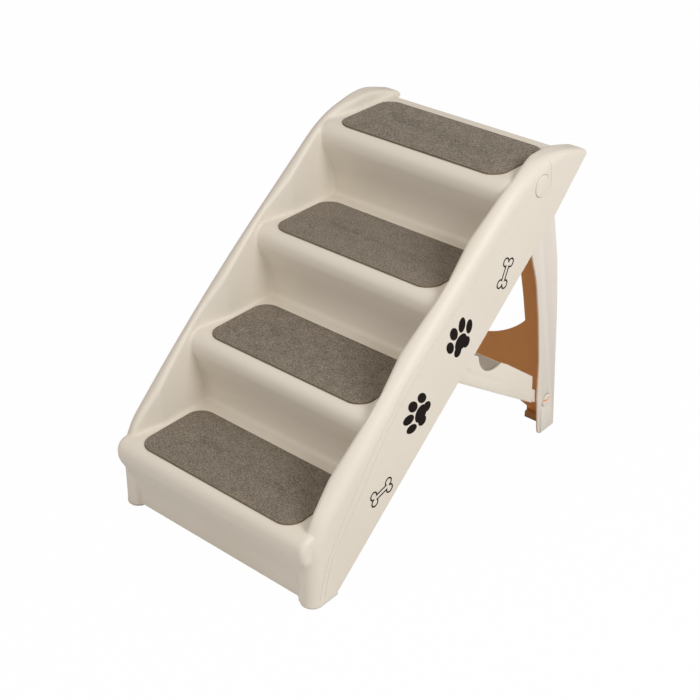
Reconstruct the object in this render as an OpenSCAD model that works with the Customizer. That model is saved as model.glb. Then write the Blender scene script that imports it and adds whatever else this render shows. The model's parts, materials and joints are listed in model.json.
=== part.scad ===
// Folding pet stairs with four carpeted treads, a swing-out rear leg and a latching brace.
// X runs across the stairs, Y from the front to the back, Z up; lengths in millimetres.
// Outlines in the side view are drawn as [y, z], with y from the front edge of the first mat.

/* [Steps] */
// Distance along the floor from one tread to the next
step_run = 152; // [148:1:156]
// Height from one tread to the next
step_rise = 127; // [124:1:130]
// Width over the two side rails
overall_w = 400; // [380:1:430]
// Wall thickness of the moulded shell
wall_t = 3.5; // [3:0.1:4]
// How far the rolled nose of a tread stands out in front of its mat
nose_out = 14; // [12:0.5:16]
// Radius of the rolled nose
nose_r = 21; // [19:0.5:22]
// Distance of a riser behind the front edge of the mat above it
riser_back = 8.5; // [7:0.5:10]
// Radius of the cove between a tread and the riser behind it
cove_r = 8; // [6:0.5:10]
// Height of the lip at the back of the top tread
lip_h = 24; // [18:1:28]

/* [Side rails] */
// Width of a side rail
rail_w = 35; // [34:0.5:38]
// Depth from the step corners to the back edge of the side panels, square to the slope
back_depth = 20; // [19:0.5:24]
// Height of the foot pads under the side rails
foot_h = 5; // [4:0.5:7]
// How far a foot pad stands out around the rail
foot_flare = 0.6; // [0.3:0.1:1]

/* [Tread mats] */
// Width of a tread mat
mat_w = 314; // [290:1:318]
// Depth of a tread mat
mat_d = 135; // [125:1:138]
// Radius of the corners of a mat
mat_corner_r = 26; // [18:1:32]
// Thickness of a mat
mat_t = 3; // [2.5:0.1:4]
// Depth of the pocket that a mat lies in
pocket_depth = 1.2; // [0.8:0.1:1.6]
// Clearance round a mat in its pocket
mat_gap = 0.4; // [0.3:0.1:0.6]

/* [Rear leg] */
// Distance of the leg pivot behind the front edge of the top mat
pivot_back = 56; // [54:1:58]
// Distance of the leg pivot below the top tread
pivot_drop = 19; // [18:0.5:20]
// Width of the leg at the floor
leg_foot_w = 52; // [50:1:54]
// Distance of the heel of the leg behind the last step
heel_back = 20; // [16:1:24]
// Thickness of the leg and brace plates
plate_t = 3.7; // [3.2:0.1:4]
// Clearance between the leg and the side panels
leg_gap = 2.8; // [2.6:0.1:3.2]

/* [Brace] */
// Depth of a brace arm
arm_d = 48; // [44:1:50]
// Clearance between the brace arms and the leg
arm_gap = 2.3; // [2.1:0.1:2.6]
// Height of the latch above the floor
latch_h = 65; // [60:1:68]
// Height of the wall that joins the two arms
cross_wall_h = 24; // [20:1:26]

/* [Pivot pins] */
// Radius of the leg pivot pin
leg_pin_r = 7; // [6:0.5:8]
// Radius of the round head of the leg pivot pin
pin_head_r = 17.4; // [16:0.2:18]
// Radius of the brace pivot pin
brace_pin_r = 4.5; // [4:0.25:5]
// Running clearance between a pin and its bore
pin_gap = 0.05; // [0.02:0.01:0.1]

/* [Prints] */
// Distance from the pad of a paw print to its middle toes
paw_r = 33; // [30:1:36]
// Distance between the two ends of a bone print
bone_len = 34; // [30:1:38]
// Thickness of the printed film
film_t = 0.3; // [0.2:0.05:0.4]

/* [Hidden] */

$fn = 48;

cream = [0.90, 0.87, 0.81];
mat_grey = [0.42, 0.38, 0.33];
pad_grey = [0.80, 0.76, 0.69];
print_black = [0.09, 0.06, 0.05];

step_count = 4;
arc_steps = 6;
overrun = step_run / 8;          // how far a cutting shape runs past what it cuts

// The widths across the stairs, from the middle outwards.
outer_x = overall_w / 2;         // outer face of a side panel
panel_x = outer_x - wall_t;      // its inner face
inner_x = outer_x - rail_w;      // face of a rail towards the treads
hollow_x = inner_x + wall_t;     // the other face of that wall
leg_x = panel_x - leg_gap;       // outer face of the leg plates
leg_in_x = leg_x - plate_t;
arm_x = leg_in_x - arm_gap;      // outer face of the brace arms
arm_in_x = arm_x - plate_t;

// Plane geometry.
function unit(v) = v / norm(v);
function square_to(v) = [-v[1], v[0]];
function flat(p) = [p[0], p[1]];
function angle_of(v) = atan2(v[1], v[0]);
function fold(a) = a > 180 ? a - 360 : a < -180 ? a + 360 : a;

// The points of an arc that rounds corner b, where b is [y, z, radius].
function rounded(a, b, c, n) = let (
    u = unit(flat(a) - flat(b)), v = unit(flat(c) - flat(b)),
    half = acos(u * v) / 2,
    centre = flat(b) + unit(u + v) * b[2] / sin(half),
    first = angle_of(flat(b) + u * b[2] / tan(half) - centre),
    turn = fold(angle_of(flat(b) + v * b[2] / tan(half) - centre) - first)
) [for (i = [0:n]) centre + b[2] * [cos(first + turn * i / n), sin(first + turn * i / n)]];

// An open path with its corners rounded.
function smooth(path, n = arc_steps) = [for (i = [0:len(path) - 1])
    each i == 0 || i == len(path) - 1 || path[i][2] <= 0 ? [flat(path[i])]
        : rounded(path[i - 1], path[i], path[i + 1], n)];

// A path moved sideways by d, to the left of its direction, with its radii adjusted.
function beside(path, d) = [for (i = [0:len(path) - 1]) let (
    before = i == 0 ? flat(path[1]) - flat(path[0]) : flat(path[i]) - flat(path[i - 1]),
    after = i == len(path) - 1 ? before : flat(path[i + 1]) - flat(path[i]),
    n1 = square_to(unit(before)), n2 = square_to(unit(after)),
    moved = flat(path[i]) + (n1 + n2) * d / (1 + n1 * n2),
    left_turn = n1 * unit(after) > 0,
    radius = path[i][2] + (left_turn ? -d : d)
) [moved[0], moved[1], path[i][2] == 0 ? 0 : max(radius, wall_t / 7)]];

// The steps: visible outline from the bottom of the first riser to the lip behind the top tread.
nose_under_share = 0.3;          // height on the riser about which it turns forward to the nose
nose_belly_share = 0.76;         // height of the lower corner of the nose
swell_r = nose_r * 5;
belly_r = nose_r * 1.8;
lip_r = nose_r / 2;
top_depth = step_run + riser_back + wall_t / 2;
function riser_y(i) = step_run * i + riser_back;
function step_path(i) = [
    [riser_y(i), step_rise * (i + nose_under_share), swell_r],
    [step_run * i - nose_out, step_rise * (i + nose_belly_share), belly_r],
    [step_run * i - nose_out, step_rise * (i + 1), nose_r]];
skin_path = concat(
    [[riser_y(0), 0, 0]],
    [for (i = [0:step_count - 1]) each concat(
        i == 0 ? [] : [[riser_y(i), step_rise * i, cove_r]],
        step_path(i))],
    [[step_run * (step_count - 1) + top_depth, step_rise * step_count, lip_r],
     [step_run * (step_count - 1) + top_depth, step_rise * step_count - lip_h, 0]]);

// The side rails: crest in the side view, in shares of the run and the rise.
crest_shares = [[0, 0, 0], [0, 1.012, 0.66], [1.132, 2.323, 19], [3.309, 4.32, 1.25],
    [4.243, 3.984, 0]];
crest_path = [for (s = crest_shares) [s[0] * step_run, s[1] * step_rise, s[2] * step_run]];
round_r = rail_w / 2;

// The back edge of the side panels runs parallel to the step corners.
pitch = unit([step_run, step_rise]);
pitch_down = [pitch[1], -pitch[0]];
corner_back = [riser_y(1) + wall_t, step_rise - wall_t] + pitch_down * back_depth;
function back_edge(y) = corner_back[1] + (y - corner_back[0]) * step_rise / step_run;
function back_y(z) = corner_back[0] + (z - corner_back[1]) * step_run / step_rise;
heel_y = back_y(foot_h);
kink_y = 3.665 * step_run;
tip = [4.149 * step_run, 3.945 * step_rise];
back_path = [
    [back_y(0), 0, 0],
    [kink_y, back_edge(kink_y), nose_r]];

// Leg pivot, floor contact and the frame of the leg, along it and across it.
pivot = [step_run * (step_count - 1) + pivot_back, step_rise * step_count - pivot_drop];
heel = [step_run * step_count + heel_back, 0];
sole_gap = foot_h / 10;          // the plates end this far above the floor
leg_line = heel - [leg_foot_w / 2, 0] - pivot;
leg_len = norm(leg_line);
leg_down = unit(leg_line);
leg_out = square_to(leg_down);
function on_leg(along, across) = pivot + leg_down * along + leg_out * across;
// Edges of a leg plate: share of the leg's length, share of its foot width.
leg_rear_shares = [[0.14, 0.78], [0.34, 0.915], [0.52, 0.865], [0.74, 0.72], [1.03, 0.50]];
leg_front_shares = [[1.03, -0.40], [0.83, -0.33], [0.67, -0.17], [0.51, -0.145], [0.35, -0.20],
    [0.19, -0.50]];
function leg_edge(shares, r) = [for (s = shares) let (
    p = on_leg(s[0] * leg_len, s[1] * leg_foot_w)) [p[0], p[1], r]];
leg_bend_r = leg_foot_w * 4;
leg_head_r = 25;
leg_corner_r = leg_foot_w / 5;
leg_rear = leg_edge(leg_rear_shares, leg_bend_r);
leg_front = leg_edge(leg_front_shares, leg_bend_r);
web_from = 0.26;                 // where the leg's back wall starts, as a share of its length
window_end_share = 0.724;        // lowest point of the window's round sill
window_spring_share = 0.8;       // where its sides turn into the arch
window_r = step_run * 1.13;
window_half_w = step_run * 0.92;
window_top_share = 0.89;         // width at the spring as a share of the width at the sill
top_bar = cross_wall_h * 1.2;    // height of the bar above the window
foot_arch_h = 17;
foot_arch_x = 141;

// Brace pivot, latch and the frame of a brace arm.
brace_pin_in = 10.5;              // distance of the brace pin in front of the third riser
brace_pin_up = 16;               // its height above the second tread
latch_heel_share = 0.596;        // distance of the latch from the heel, in shares of the foot width
brace_pivot = [riser_y(2) - brace_pin_in, step_rise * 2 + brace_pin_up];
latch = [heel[0] - latch_heel_share * leg_foot_w, latch_h];
peg_below = 8;                   // distance of the peg below the arm's own line
brace_len = norm(latch - brace_pivot);
arm_angle = angle_of(latch - brace_pivot) + asin(peg_below / brace_len);
arm_dir = [cos(arm_angle), sin(arm_angle)];
arm_up = square_to(arm_dir);
function on_arm(along, across) = brace_pivot + arm_dir * along + arm_up * across;
// Outline of a brace arm: share of the brace's length, share of the arm's depth.
arm_shares = [[0, -0.42], [0.905, -0.42], [0.81, 0.47], [0.53, 0.60], [0.22, 0.565], [0, 0.42]];
arm_head_r = arm_d * 0.42;
notch_shares = [0.366, 1.25];
notch_r = arm_d * 1.06;
cross_wall_share = 0.477;
tongue_w = 20;
peg_r = 5.5;
peg_reach = 1.8;                 // how far a peg reaches into the leg plate
peg_gap = 1.5;

// Bosses, heads and washers.
side_gap = 0.4;
leg_boss_r = 16;
leg_boss_h = leg_gap - side_gap;
brace_boss_r = 9.5;
head_recess = 1.2;
head_proud = 0.5;
head_gap = 0.5;
washer_r = 12;
washer_t = 2.4;
brace_head_r = 9;
brace_head_t = 1.5;
plug_depth = 12;

side_outline = smooth(crest_path);
spine = smooth(beside(crest_path, -round_r));
spine_last = spine[len(spine) - 1];
crest_end = unit(side_outline[len(spine) - 1] - spine_last);
end_dir = [crest_end[1], -crest_end[0]];
kink = [kink_y, back_edge(kink_y)];
function side_of(a, b) = a[0] * b[1] - a[1] * b[0];
function to_back(p) = p - end_dir * side_of(p - kink, tip - kink) / side_of(end_dir, tip - kink);
spine_end = to_back(spine_last);
back_outline = smooth(concat(back_path, [[spine_end[0], spine_end[1], 0]]));
nose_front = -nose_out;
crest_back = to_back(side_outline[len(spine) - 1]);
mid_y = (crest_back[0] + nose_front) / 2;

// Lays a drawing of the side view across the stairs, from x for a width of w.
module slab(x, w) {
    translate([x, -mid_y, 0]) rotate([90, 0, 90]) linear_extrude(w) children();
}

// A round rod across the stairs.
module rod(at, r, x, w) {
    translate([x, at[0] - mid_y, at[1]]) rotate([0, 90, 0]) cylinder(r = r, h = w);
}

module on_side(side) {
    mirror([side < 0 ? 1 : 0, 0, 0]) children();
}

module both_sides() {
    on_side(1) children();
    on_side(-1) children();
}

// The stepped skin, a folded sheet with rolled noses.
module step_skin() {
    half = hollow_x + wall_t * 2;
    inner = smooth(beside(skin_path, -wall_t));
    outer = smooth(skin_path);
    slab(-half, 2 * half) polygon(concat(outer, [for (i = [len(inner) - 1:-1:0]) inner[i]]));
}

// One ring of a rail's crown, half round over two short skirts that overlap the walls.
crown_sides = 8;
skirt_h = wall_t / 2;
function crown_ring(i) = let (
    base = spine[i], n = unit(side_outline[i] - base), mid_x = outer_x - round_r)
    [for (s = [1, -1], j = [-1:crown_sides + 1]) let (
        k = s > 0 ? j : crown_sides - j,
        a = 180 * max(0, min(crown_sides, k)) / crown_sides,
        skirt = k < 0 || k > crown_sides ? skirt_h : 0,
        r = s > 0 ? round_r : round_r - wall_t,
        p = base + n * (r * sin(a) - skirt), q = i < len(spine) - 1 ? p : to_back(p))
        [mid_x + r * cos(a), q[0], q[1]]];

// The crown of a rail, swept along its crest.
module crown() {
    rings = [for (i = [0:len(spine) - 1]) crown_ring(i)];
    n = len(rings[0]);
    skins = [for (i = [0:len(rings) - 2], j = [0:n - 1])
        each let (a = i * n + j, b = i * n + (j + 1) % n, c = a + n, d = b + n)
            [[a, b, c], [b, d, c]]];
    start = [for (j = [0:n / 2 - 2]) each [[j, n - 1 - j, j + 1], [j + 1, n - 1 - j, n - 2 - j]]];
    base = (len(rings) - 1) * n;
    end = [for (f = start) [base + f[2], base + f[1], base + f[0]]];
    translate([0, -mid_y, 0])
        polyhedron(points = [for (r = rings) each r], faces = concat(skins, start, end));
}

// The flat walls under the crown; the inner one stops at the treads.
module wall_view() {
    polygon(concat([for (i = [0:len(spine) - 2]) spine[i]],
        [for (i = [len(back_outline) - 1:-1:0]) back_outline[i]]));
}

module rail() {
    crown();
    slab(panel_x, wall_t) wall_view();
    slab(inner_x, wall_t) difference() {
        wall_view();
        below_treads_view();
    }
}

// The room below the treads.
module below_treads_view() {
    middle = smooth(beside(skin_path, -wall_t / 2));
    far = tip[0] + step_run;
    polygon(concat([[riser_y(0) + wall_t / 2, -step_rise]], middle,
        [[far, step_rise * step_count - lip_h], [far, -step_rise]]));
}

module rounded_tread(w, d, r, h) {
    for (x = [-1, 1], y = [r, d - r]) translate([x * (w / 2 - r), y, 0]) cylinder(r = r, h = h);
    translate([-w / 2, r, 0]) cube([w, d - 2 * r, h]);
    translate([r - w / 2, 0, 0]) cube([w - 2 * r, d, h]);
}

module mat_pocket(i) {
    translate([0, step_run * i - mat_gap - mid_y, step_rise * (i + 1) - pocket_depth])
        rounded_tread(mat_w + 2 * mat_gap, mat_d + 2 * mat_gap, mat_corner_r + mat_gap, mat_t);
}

// The end of the first nose, which rolls over the front of each rail.
module nose_end() {
    translate([outer_x - nose_r - foot_h * 2.4, nose_r - nose_out - mid_y, step_rise - nose_r])
        sphere(r = nose_r * 0.985);
}

module stair_body() {
    color(cream) difference() {
        union() {
            both_sides() rail();
            step_skin();
            difference() {
                both_sides() nose_end();
                rail_hollows();
            }
            both_sides() rod(pivot, leg_boss_r, panel_x - leg_boss_h, leg_boss_h + wall_t / 2);
            both_sides() rod(brace_pivot, brace_boss_r, hollow_x - wall_t / 2,
                arm_in_x - side_gap - hollow_x + wall_t / 2);
        }
        both_sides() rod(pivot, leg_pin_r + pin_gap, panel_x - overrun, wall_t + 2 * overrun);
        both_sides() rod(pivot, pin_head_r + head_gap, outer_x - head_recess, overrun);
        both_sides() rod(brace_pivot, brace_pin_r + pin_gap, hollow_x + wall_t / 2,
            panel_x - hollow_x - wall_t);
        for (i = [0:step_count - 1]) mat_pocket(i);
        translate([-overall_w, -step_run - mid_y, foot_h - step_rise])
            cube([2 * overall_w, step_run * 6, step_rise]);
    }
}

// The insides of the rails behind the first nose.
module rail_hollows() {
    for (x = [-panel_x, hollow_x]) slab(x, panel_x - hollow_x)
        translate([wall_t, 0]) square([step_run, step_rise * 1.5]);
    slab(-inner_x - wall_t, 2 * (inner_x + wall_t)) below_treads_view();
}

module mat(i) {
    color(mat_grey)
        translate([0, step_run * i - mid_y, step_rise * (i + 1) - pocket_depth])
            rounded_tread(mat_w, mat_d, mat_corner_r, mat_t);
}

module tread_mat_1() { mat(0); }
module tread_mat_2() { mat(1); }
module tread_mat_3() { mat(2); }
module tread_mat_4() { mat(3); }

// A leg plate in the side view, cut level above the floor.
module leg_plate() {
    rear = smooth(leg_rear);
    front = smooth(leg_front);
    intersection() {
        union() {
            polygon(concat(rear, front, [pivot - leg_out * leg_head_r, pivot + leg_out * leg_head_r]));
            translate(pivot) circle(r = leg_head_r);
        }
        floor_square();
    }
}

// Keeps what stands above the floor and rounds the toe of the leg.
module floor_square() {
    toe = heel[0] - leg_foot_w * 0.905;
    translate([toe - step_run, sole_gap + leg_corner_r])
        square([step_run * 3, step_rise * 5]);
    translate([toe + leg_corner_r, sole_gap]) square([leg_foot_w * 2, leg_corner_r * 2]);
    translate([toe + leg_corner_r, sole_gap + leg_corner_r]) circle(r = leg_corner_r);
}

// The curved back wall between the two leg plates.
module leg_web() {
    from = on_leg(web_from * leg_len, 0);
    rear = smooth(leg_rear);
    inner = smooth(beside(leg_rear, -plate_t));
    intersection() {
        slab(-leg_x, 2 * leg_x)
            polygon(concat(rear, [for (i = [len(inner) - 1:-1:0]) inner[i]]));
        translate([-outer_x, -step_run - mid_y, sole_gap])
            cube([overall_w, step_run * 6, from[1] - sole_gap]);
    }
}

// The arched window in the back wall, seen from behind as [x, z].
module window_view() {
    sill = pivot[1] - window_end_share * leg_len;
    top = on_leg(web_from * leg_len, 0)[1] - top_bar;
    spring = sill + (top - sill) * window_spring_share;
    narrow = window_half_w * window_top_share;
    intersection() {
        translate([0, sill + window_r]) circle(r = window_r);
        union() {
            polygon([[-window_half_w, sill], [window_half_w, sill],
                [narrow, spring], [-narrow, spring]]);
            polygon(oval([0, spring], narrow, top - spring, 0, arc_steps * 8));
        }
    }
}

// The low arch between the two feet, with a step at each end.
module foot_arch_view() {
    polygon([[-foot_arch_x, -foot_arch_h], [-foot_arch_x, foot_arch_h],
        [-foot_arch_x * 0.85, foot_arch_h * 1.5], [foot_arch_x * 0.85, foot_arch_h * 1.5],
        [foot_arch_x, foot_arch_h], [foot_arch_x, -foot_arch_h]]);
}

module through_back() {
    translate([0, pivot[0] + step_run * 2 - mid_y, 0]) rotate([90, 0, 0])
        linear_extrude(step_run * 2) children();
}

// The way of a peg along a leg plate as the brace and the leg swing together.
leg_turn = 54.5;
brace_turn = 105;
function turned(p, c, a) = c + [cos(a) * (p - c)[0] - sin(a) * (p - c)[1],
    sin(a) * (p - c)[0] + cos(a) * (p - c)[1]];
function peg_on_leg(f) = turned(turned(latch, brace_pivot, -brace_turn * f), pivot, leg_turn * f);

module peg_way() {
    r = peg_r + peg_gap;
    end = peg_on_leg(0.33);
    n = square_to(unit(end - latch));
    translate(latch) circle(r = r);
    polygon([latch + n * r, latch - n * r, end - n * r, end + n * r]);
}

module leg_frame() {
    color(cream) difference() {
        union() {
            slab(leg_in_x, plate_t) leg_plate();
            slab(-leg_x, plate_t) leg_plate();
            leg_web();
        }
        both_sides() rod(pivot, leg_pin_r + pin_gap, leg_in_x - overrun, plate_t + 2 * overrun);
        through_back() window_view();
        through_back() foot_arch_view();
        both_sides() slab(leg_in_x - overrun, overrun + peg_reach + side_gap) peg_way();
        both_sides() rod(latch, catch_r + mat_gap, leg_x - catch_seat, overrun);
    }
}

// The snap catch pressed into the outside of each leg plate.
catch_r = 11.5;
catch_seat = 0.6;
catch_proud = 2;
module catch_view() {
    difference() {
        translate(latch) circle(r = catch_r);
        translate(latch + [0, -catch_r * 0.1]) polygon([[-catch_r, catch_r * 0.35], [0, -catch_r * 0.05],
            [catch_r, catch_r * 0.35], [catch_r, catch_r * 0.55], [0, catch_r * 0.15],
            [-catch_r, catch_r * 0.55]]);
    }
}

module latch_catch(side) {
    color(cream) on_side(side) {
        rod(latch, catch_r, leg_x - catch_seat, catch_seat * 1.5);
        slab(leg_x, catch_proud) catch_view();
    }
}

module latch_catch_left() { latch_catch(-1); }
module latch_catch_right() { latch_catch(1); }

// A brace arm in the side view, with its notch and the tongue that carries the peg.
module arm_view() {
    difference() {
        union() {
            polygon([for (s = arm_shares) on_arm(s[0] * brace_len, s[1] * arm_d)]);
            translate(brace_pivot) circle(r = arm_head_r);
            tongue_view();
        }
        translate(on_arm(notch_shares[0] * brace_len, notch_shares[1] * arm_d)) circle(r = notch_r);
    }
}

module tongue_view() {
    from = 0.8 * brace_len;
    translate(latch) circle(r = tongue_w / 2);
    polygon([on_arm(from, -peg_below - tongue_w / 2), latch - arm_up * tongue_w / 2,
        latch + arm_up * tongue_w / 2, on_arm(from, tongue_w / 2 - peg_below)]);
}

module brace() {
    wall_top = on_arm(cross_wall_share * brace_len, arm_d * 0.575);
    color(cream) difference() {
        union() {
            slab(arm_in_x, plate_t) arm_view();
            slab(-arm_x, plate_t) arm_view();
            slab(-arm_in_x - plate_t / 2, 2 * arm_in_x + plate_t)
                polygon([wall_top, wall_top + arm_dir * plate_t,
                    wall_top + arm_dir * plate_t - arm_up * cross_wall_h,
                    wall_top - arm_up * cross_wall_h]);
            both_sides() rod(latch, peg_r, arm_x - plate_t / 2, plate_t / 2 + arm_gap + peg_reach);
        }
        both_sides() rod(brace_pivot, brace_pin_r + pin_gap, arm_in_x - overrun, plate_t + 2 * overrun);
    }
}

// A leg pivot pin: broad head flush in the side panel, shank and a groove for its washer.
module leg_pivot_pin(side) {
    end = leg_in_x - side_gap * 2 - washer_t - plate_t;
    color(cream) on_side(side) {
        rod(pivot, leg_pin_r, end, outer_x - end);
        rod(pivot, pin_head_r, outer_x - head_recess, head_recess + head_proud / 2);
        rod(pivot, pin_head_r - head_proud, outer_x, head_proud);
    }
}

module leg_pin_washer(side) {
    color(pad_grey) on_side(side) difference() {
        rod(pivot, washer_r, leg_in_x - side_gap - washer_t, washer_t);
        rod(pivot, leg_pin_r, leg_in_x - overrun, overrun);
    }
}

module brace_pivot_pin(side) {
    color(cream) on_side(side) {
        rod(brace_pivot, brace_pin_r, hollow_x + wall_t / 2,
            arm_x + side_gap * 1.5 - hollow_x - wall_t / 2);
        rod(brace_pivot, brace_head_r, arm_x + side_gap * 0.75, brace_head_t);
    }
}

module leg_pivot_pin_left() { leg_pivot_pin(-1); }
module leg_pivot_pin_right() { leg_pivot_pin(1); }
module leg_pin_washer_left() { leg_pin_washer(-1); }
module leg_pin_washer_right() { leg_pin_washer(1); }
module brace_pivot_pin_left() { brace_pivot_pin(-1); }
module brace_pivot_pin_right() { brace_pivot_pin(1); }

// The pad under a side rail, with a plug that fills the foot of the channel.
module front_foot(side) {
    mid_x = outer_x - round_r;
    color(cream) on_side(side) translate([0, -mid_y, 0]) {
        translate([mid_x, round_r, 0]) cylinder(r = round_r + foot_flare, h = foot_h);
        translate([inner_x - foot_flare, round_r, 0])
            cube([rail_w + 2 * foot_flare, heel_y - round_r, foot_h]);
        translate([hollow_x + side_gap, round_r, 0])
            cube([rail_w - 2 * wall_t - 2 * side_gap, heel_y - round_r - wall_t, foot_h + plug_depth]);
    }
}

// The pad behind the foot of the leg, against its back wall.
module rear_foot(side) {
    top = plug_depth;
    inner = smooth(beside(leg_rear, -plate_t));
    color(cream) on_side(side) intersection() {
        translate([foot_arch_x + foot_h / 2, heel[0] - leg_foot_w / 4 - mid_y, 0])
            cube([arm_in_x - foot_h - foot_arch_x, leg_foot_w / 4, top]);
        slab(0, outer_x) polygon(concat([for (p = inner) p], [on_leg(leg_len * 1.1, -leg_foot_w),
            on_leg(0, -leg_foot_w)]));
    }
}

module front_foot_left() { front_foot(-1); }
module front_foot_right() { front_foot(1); }
module rear_foot_left() { rear_foot(-1); }
module rear_foot_right() { rear_foot(1); }

// Prints on the side panels, drawn upright about their own middle and then turned.
full_turn = 360;
function oval(at, a, b, turn, n = 24) = [for (i = [0:n - 1]) let (t = full_turn * i / n)
    at + [a * cos(t) * cos(turn) - b * sin(t) * sin(turn),
        a * cos(t) * sin(turn) + b * sin(t) * cos(turn)]];

toe_angles = [-58, -18, 18, 58];
module paw_view() {
    for (i = [0:3]) let (
        a = toe_angles[i], middle = i == 1 || i == 2, r = middle ? paw_r : paw_r * 0.86)
        polygon(oval(r * [-sin(a), cos(a)], paw_r * (middle ? 0.25 : 0.23),
            paw_r * (middle ? 0.39 : 0.37), a * (middle ? 0.8 : 0.25)));
    polygon(oval([0, paw_r * 0.12], paw_r * 0.44, paw_r * 0.41, 0));
    for (s = [-1, 1]) polygon(oval(paw_r * [s * 0.33, -0.18], paw_r * 0.26, paw_r * 0.29, 0));
}

module bone_shape(shrink) {
    lobe_r = bone_len * 0.23;
    for (x = [-1, 1], y = [-1, 1])
        translate([x * bone_len / 2, y * lobe_r * 0.86]) circle(r = lobe_r - shrink);
    square([bone_len, lobe_r * 1.35 - 2 * shrink], center = true);
}

module bone_view() {
    difference() {
        bone_shape(0);
        bone_shape(bone_len * 0.07);
    }
}

// Places in shares of the run and the rise.
paw_shares = [[2.152, 2.356], [1.57, 1.744]];
paw_angles = [20.5, 63.5];
bone_shares = [[2.828, 2.957], [0.977, 1.024]];
bone_angles = [67.7, 13.3];
module prints(side, shares, angles) {
    color(print_black) on_side(side) for (i = [0:len(shares) - 1])
        slab(outer_x, film_t)
            translate([shares[i][0] * step_run, shares[i][1] * step_rise]) rotate(angles[i]) children();
}

module paw_prints_left() { prints(-1, paw_shares, paw_angles) paw_view(); }
module paw_prints_right() { prints(1, paw_shares, paw_angles) paw_view(); }
module bone_prints_left() { prints(-1, bone_shares, bone_angles) bone_view(); }
module bone_prints_right() { prints(1, bone_shares, bone_angles) bone_view(); }

stair_body();
tread_mat_1();
tread_mat_2();
tread_mat_3();
tread_mat_4();
leg_frame();
brace();
leg_pivot_pin_left();
leg_pivot_pin_right();
leg_pin_washer_left();
leg_pin_washer_right();
brace_pivot_pin_left();
brace_pivot_pin_right();
latch_catch_left();
latch_catch_right();
front_foot_left();
front_foot_right();
rear_foot_left();
rear_foot_right();
paw_prints_left();
paw_prints_right();
bone_prints_left();
bone_prints_right();
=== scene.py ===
import json
import math

import bmesh
import bpy
import numpy as np
from mathutils import Matrix, Vector


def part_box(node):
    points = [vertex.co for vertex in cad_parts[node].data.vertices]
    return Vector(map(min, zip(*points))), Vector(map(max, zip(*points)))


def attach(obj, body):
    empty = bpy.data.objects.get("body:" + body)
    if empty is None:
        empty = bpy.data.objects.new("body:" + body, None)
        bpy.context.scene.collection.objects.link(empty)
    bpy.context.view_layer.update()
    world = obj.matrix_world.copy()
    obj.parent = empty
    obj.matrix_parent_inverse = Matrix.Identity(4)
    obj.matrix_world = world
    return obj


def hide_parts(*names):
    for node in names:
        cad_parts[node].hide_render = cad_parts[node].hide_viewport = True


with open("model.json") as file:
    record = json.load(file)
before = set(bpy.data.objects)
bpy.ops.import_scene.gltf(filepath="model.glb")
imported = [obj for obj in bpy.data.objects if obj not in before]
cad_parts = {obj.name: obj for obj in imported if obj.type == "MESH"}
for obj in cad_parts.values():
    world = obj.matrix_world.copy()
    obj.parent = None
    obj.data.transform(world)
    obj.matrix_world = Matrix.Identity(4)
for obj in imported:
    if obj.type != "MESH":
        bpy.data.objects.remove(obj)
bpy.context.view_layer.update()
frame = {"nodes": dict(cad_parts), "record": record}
nodes = frame["nodes"]

# All measures below are in millimetres, with y from the front edge of the first mat.
mm = 0.001
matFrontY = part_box("tread_mat_1")[0].y / mm
shift = np.array([0.0, matFrontY, 0.0])


# Millimetres in the stairs' own axes to metres in the frame: moved back by the mat's front edge.
def toFrame(points):
    return (np.asarray(points, float) + shift) * mm


# Camera
cameraView = {"azimuth": 39.772, "elevation": 31.358, "roll": 0.873, "lens": 71.777,
              "place": (1195.9, -1124.2, 1354.1)}


# Looks along azimuth and elevation, then rolls about the line of sight.
def addCamera(s):
    az, el, roll = (math.radians(s[k]) for k in ("azimuth", "elevation", "roll"))
    back = Vector((math.sin(az) * math.cos(el), -math.cos(az) * math.cos(el), math.sin(el)))
    right = Vector((0, 0, 1)).cross(back).normalized()
    up = back.cross(right)
    turnedRight = right * math.cos(roll) + up * math.sin(roll)
    turnedUp = up * math.cos(roll) - right * math.sin(roll)
    data = bpy.data.cameras.new("camera")
    data.lens, data.sensor_width, data.clip_end = s["lens"], 36, 50
    cam = bpy.data.objects.new("camera", data)
    bpy.context.scene.collection.objects.link(cam)
    turn = Matrix((turnedRight, turnedUp, back)).transposed().to_4x4()
    cam.matrix_world = Matrix.Translation(Vector(toFrame(s["place"]))) @ turn
    bpy.context.scene.camera = cam


addCamera(cameraView)
print("camera set")

# Outlines in the side view
farBelow, farBehind = -300, 900
stepForm = {"run": 152, "rise": 127, "count": 4, "riserBack": 8.5, "noseOut": 14, "noseTop": 21,
            "noseBelly": 36, "bellyShare": 0.76, "swellShare": 0.3, "swell": 110, "cove": 8,
            "lipY": 618, "lipRound": 10}
railForm = {"half": 17.5, "outer": 200, "inner": 165, "wall": 3.5, "floor": 5, "shoulder": 21,
            "edge": 6, "columnEdge": 11, "columnTop": (95, 135), "lean": 0.10, "leanEase": (4, 64),
            "crest": [(0, farBelow, 0), (0, 128.5, 100), (172, 295, 2900), (503, 548.6, 190),
                      (645, 506, 0)],
            "crestFall": 77,
            "tipY": 636, "tipRound": 8.5, "tipCrown": 8, "crownY": (500, 585),
            "back": [(53.4, 5), (557.1, 425.9), (630.6, 501)]}


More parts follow.
